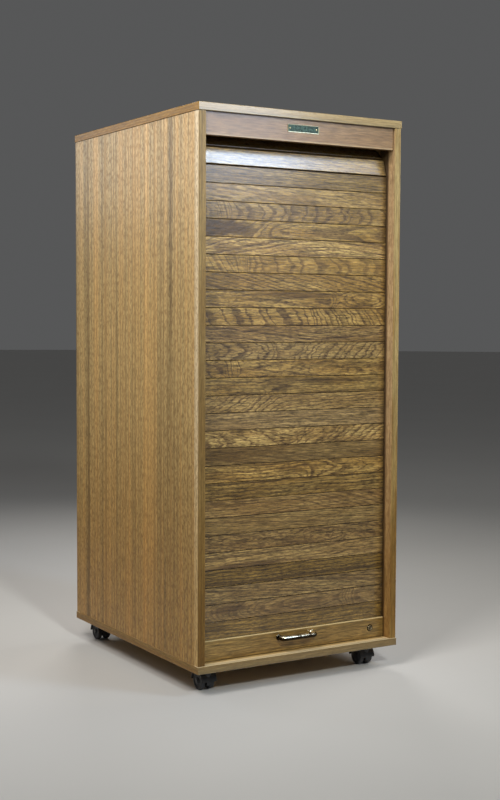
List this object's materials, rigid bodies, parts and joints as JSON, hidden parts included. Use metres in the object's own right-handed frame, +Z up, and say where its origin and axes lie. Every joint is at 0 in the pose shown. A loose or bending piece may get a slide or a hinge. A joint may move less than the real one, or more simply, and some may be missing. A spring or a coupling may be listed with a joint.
{
  "type": "tambour door cabinet",
  "caption": "Tall oak cabinet on casters with a rising tambour door of flat slats, a bottom rail with bow pull and key lock, and shelves inside.",
  "frame": {"origin": "floor level, in the middle of the cabinet's footprint", "axes": "+Z up, -Y out of the door's front, +X to the lock's side"},
  "size_m": [0.532, 0.637, 1.267],
  "materials": {
    "case_oak": "satin lacquer on straight-grained oak veneer",
    "slat_oak": "satin lacquer on flat-sawn oak",
    "rail_oak": "satin lacquer on oak",
    "thin_board": "thin veneered board",
    "shelf_board": "veneered board",
    "dowel_wood": "plain beech",
    "canvas": "cotton canvas",
    "plate_brass": "lacquered, blank",
    "bright_metal": "polished",
    "steel": "zinc plated",
    "black_plastic": "moulded nylon",
    "wheel_rubber": "moulded tread"
  },
  "bodies": {
    "case": {"top_panel": "case_oak", "bottom_panel": "case_oak", "left_side": "case_oak", "right_side": "case_oak", "back_panel": "thin_board", "header_rail": "rail_oak", "nameplate": "plate_brass", "nameplate_pins": "plate_brass", "inner_top": "thin_board", "inner_back": "thin_board", "shelves": "shelf_board", "shelf_pins": "steel", "dowels": "dowel_wood", "wood_screws": "steel", "strike_plate": "steel", "caster_plates": "steel", "canvas_backing": "canvas"},
    "door": {"bottom_rail": "rail_oak", "pull": "bright_metal", "pull_screws": "steel", "lock_body": "bright_metal"},
    "plug": {"lock_plug": "bright_metal"},
    "bolt": {"lock_bolt": "steel"},
    "slat_01": {"slat_01": "slat_oak"},
    "slat_02": {"slat_02": "slat_oak"},
    "slat_03": {"slat_03": "slat_oak"},
    "slat_15": {"slat_15": "slat_oak"},
    "slat_16": {"slat_16": "slat_oak"},
    "slats_top": {"slat_04": "slat_oak", "slat_05": "slat_oak", "slat_06": "slat_oak", "slat_07": "slat_oak", "slat_08": "slat_oak", "slat_09": "slat_oak", "slat_10": "slat_oak", "slat_11": "slat_oak", "slat_12": "slat_oak", "slat_13": "slat_oak", "slat_14": "slat_oak"},
    "slat_17": {"slat_17": "slat_oak"},
    "slat_28": {"slat_28": "slat_oak"},
    "slat_29": {"slat_29": "slat_oak"},
    "slats_back": {"slat_18": "slat_oak", "slat_19": "slat_oak", "slat_20": "slat_oak", "slat_21": "slat_oak", "slat_22": "slat_oak", "slat_23": "slat_oak", "slat_24": "slat_oak", "slat_25": "slat_oak", "slat_26": "slat_oak", "slat_27": "slat_oak"},
    "swivel_fl": {"caster_hood_fl": "black_plastic"},
    "wheels_fl": {"caster_wheels_fl": "wheel_rubber"},
    "swivel_fr": {"caster_hood_fr": "black_plastic"},
    "wheels_fr": {"caster_wheels_fr": "wheel_rubber"},
    "swivel_bl": {"caster_hood_bl": "black_plastic"},
    "wheels_bl": {"caster_wheels_bl": "wheel_rubber"},
    "swivel_br": {"caster_hood_br": "black_plastic"},
    "wheels_br": {"caster_wheels_br": "wheel_rubber"}
  },
  "joints": [
    {"name": "door_lift", "type": "slide", "parent": "case", "child": "door", "axis": [0, 0, 1], "range_m": [0, 1.026], "deforming": ["slat_01", "slat_02", "slat_03", "slat_04", "slat_05", "slat_06", "slat_07", "slat_08", "slat_09", "slat_10", "slat_11", "slat_12", "slat_13", "slat_14", "slat_15", "slat_16", "slat_17", "slat_18", "slat_19", "slat_20", "slat_21", "slat_22", "slat_23", "slat_24", "slat_25", "slat_26", "slat_27", "slat_28", "slat_29", "canvas_backing"]},
    {"name": "bolt_throw", "type": "slide", "parent": "door", "child": "bolt", "axis": [0, 0, -1], "range_m": [0, 0.008]},
    {"name": "lock_turn", "type": "hinge", "parent": "door", "child": "plug", "pos_m": [0.2085, -0.2915, 0.094], "axis": [0, 1, 0], "range_deg": [0, 90]},
    {"name": "slat_01_turn", "type": "hinge", "parent": "door", "child": "slat_01", "pos_m": [0, -0.278, 0.116], "axis": [-1, 0, 0], "range_deg": [0, 17.27]},
    {"name": "slat_02_turn", "type": "hinge", "parent": "door", "child": "slat_02", "pos_m": [0, -0.27412, 0.14153], "axis": [-1, 0, 0], "range_deg": [0, 51.81]},
    {"name": "slat_03_turn", "type": "hinge", "parent": "door", "child": "slat_03", "pos_m": [0, -0.26649, 0.16089], "axis": [-1, 0, 0], "range_deg": [0, 83.63]},
    {"name": "slat_15_turn", "type": "hinge", "parent": "door", "child": "slat_15", "pos_m": [0, -0.23501, 0.19584], "axis": [-1, 0, 0], "range_deg": [0, 97.43]},
    {"name": "slat_16_turn", "type": "hinge", "parent": "door", "child": "slat_16", "pos_m": [0, -0.13018, 0.30553], "axis": [-1, 0, 0], "range_deg": [0, 129.87]},
    {"name": "slats_top_turn", "type": "hinge", "parent": "door", "child": "slats_top", "pos_m": [0, -0.26354, 0.16554], "axis": [-1, 0, 0], "range_deg": [0, 90]},
    {"name": "slat_17_turn", "type": "hinge", "parent": "case", "child": "slat_17", "pos_m": [0, 0.03496, 0.91167], "axis": [-1, 0, 0], "range_deg": [0, 164.37]},
    {"name": "slat_28_turn", "type": "hinge", "parent": "case", "child": "slat_28", "pos_m": [0, -0.02, 0.90748], "axis": [-1, 0, 0], "range_deg": [0, 162.73]},
    {"name": "slat_29_turn", "type": "hinge", "parent": "case", "child": "slat_29", "pos_m": [0, -0.09613, 0.81356], "axis": [-1, 0, 0], "range_deg": [0, 128.19]},
    {"name": "slats_back_turn", "type": "hinge", "parent": "case", "child": "slats_back", "pos_m": [0, 0.009, 0.95107], "axis": [-1, 0, 0], "range_deg": [0, 180]},
    {"name": "swivel_fl", "type": "hinge", "parent": "case", "child": "swivel_fl", "pos_m": [-0.214, -0.2665, 0.052], "axis": [0, 0, 1], "continuous": true},
    {"name": "roll_fl", "type": "hinge", "parent": "swivel_fl", "child": "wheels_fl", "pos_m": [-0.214, -0.2525, 0.02], "axis": [1, 0, 0], "continuous": true},
    {"name": "swivel_fr", "type": "hinge", "parent": "case", "child": "swivel_fr", "pos_m": [0.214, -0.2665, 0.052], "axis": [0, 0, 1], "continuous": true},
    {"name": "roll_fr", "type": "hinge", "parent": "swivel_fr", "child": "wheels_fr", "pos_m": [0.214, -0.2525, 0.02], "axis": [1, 0, 0], "continuous": true},
    {"name": "swivel_bl", "type": "hinge", "parent": "case", "child": "swivel_bl", "pos_m": [-0.214, 0.2665, 0.052], "axis": [0, 0, 1], "continuous": true},
    {"name": "roll_bl", "type": "hinge", "parent": "swivel_bl", "child": "wheels_bl", "pos_m": [-0.214, 0.2805, 0.02], "axis": [1, 0, 0], "continuous": true},
    {"name": "swivel_br", "type": "hinge", "parent": "case", "child": "swivel_br", "pos_m": [0.214, 0.2665, 0.052], "axis": [0, 0, 1], "continuous": true},
    {"name": "roll_br", "type": "hinge", "parent": "swivel_br", "child": "wheels_br", "pos_m": [0.214, 0.2805, 0.02], "axis": [1, 0, 0], "continuous": true}
  ],
  "couplings": [
    {"joint": "lock_turn", "follows": "bolt_throw", "rad_per_m": 196.35},
    {"joint": "slat_01_turn", "follows": "door_lift", "rad_per_m": 0.29378},
    {"joint": "slat_02_turn", "follows": "door_lift", "rad_per_m": 0.88134},
    {"joint": "slat_03_turn", "follows": "door_lift", "rad_per_m": 1.4226},
    {"joint": "slat_15_turn", "follows": "door_lift", "rad_per_m": 1.6574},
    {"joint": "slat_16_turn", "follows": "door_lift", "rad_per_m": 2.2092},
    {"joint": "slats_top_turn", "follows": "door_lift", "rad_per_m": 1.531},
    {"joint": "slat_17_turn", "follows": "door_lift", "rad_per_m": 2.796},
    {"joint": "slat_28_turn", "follows": "door_lift", "rad_per_m": 2.7682},
    {"joint": "slat_29_turn", "follows": "door_lift", "rad_per_m": 2.1806},
    {"joint": "slats_back_turn", "follows": "door_lift", "rad_per_m": 3.062}
  ]
}
